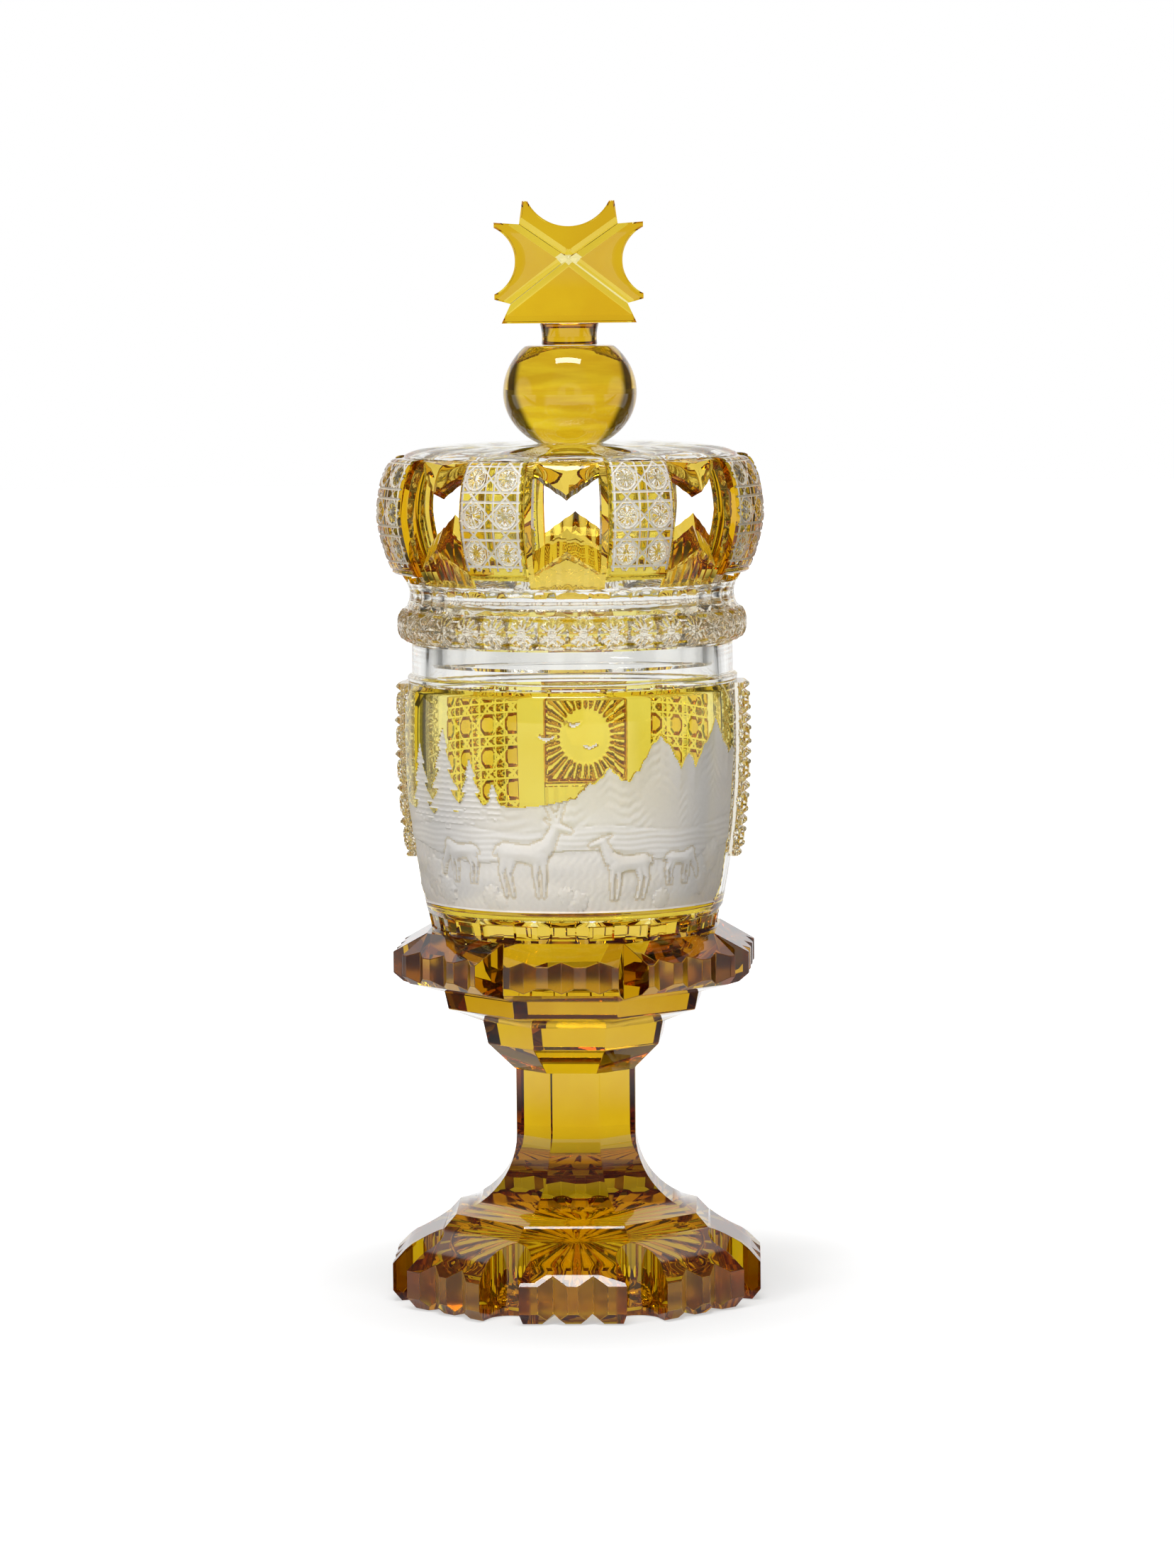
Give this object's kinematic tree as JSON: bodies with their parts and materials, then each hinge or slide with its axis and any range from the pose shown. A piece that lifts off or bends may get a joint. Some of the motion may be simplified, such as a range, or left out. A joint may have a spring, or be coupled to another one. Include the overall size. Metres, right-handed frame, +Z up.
{
  "type": "covered glass goblet",
  "caption": "Covered cut-glass goblet, clear and amber: lobed foot, stepped calyx, barrel bowl with an engraved landscape panel, and a lift-off pierced crown cover with ball and cross finial.",
  "frame": {"origin": "on the resting plane, under the goblet's axis", "axes": "+Z up along the axis, -Y out of the picture panel"},
  "size_m": [0.1272, 0.1272, 0.36],
  "materials": {
    "amber_glass": "polished, amber flashed",
    "clear_glass": "polished, wheel cut",
    "engraved_glass": "amber flashed above, matt engraved below"
  },
  "bodies": {
    "goblet": {"foot": "amber_glass", "stem": "amber_glass", "calyx_lower": "amber_glass", "calyx_middle": "amber_glass", "calyx_flange": "amber_glass", "bowl": "clear_glass", "picture_panel": "engraved_glass", "cut_panel_left": "clear_glass", "cut_panel_right": "clear_glass", "lattice_panel_left": "amber_glass", "lattice_panel_right": "amber_glass", "sunburst_panel": "amber_glass"},
    "cover": {"cover_spigot": "clear_glass", "cover_rim": "clear_glass", "crown_band": "clear_glass", "crown_arcade": "amber_glass", "crown_strap_1": "clear_glass", "crown_strap_2": "clear_glass", "crown_strap_3": "clear_glass", "crown_strap_4": "clear_glass", "crown_strap_5": "clear_glass", "crown_strap_6": "clear_glass", "crown_strap_7": "clear_glass", "crown_strap_8": "clear_glass", "crown_dome": "clear_glass", "knop": "amber_glass", "finial_neck": "amber_glass", "cross": "amber_glass"}
  },
  "joints": [
    {"name": "cover_lift", "type": "slide", "parent": "goblet", "child": "cover", "axis": [0, 0, 1], "range_m": [0, 0.09]}
  ]
}
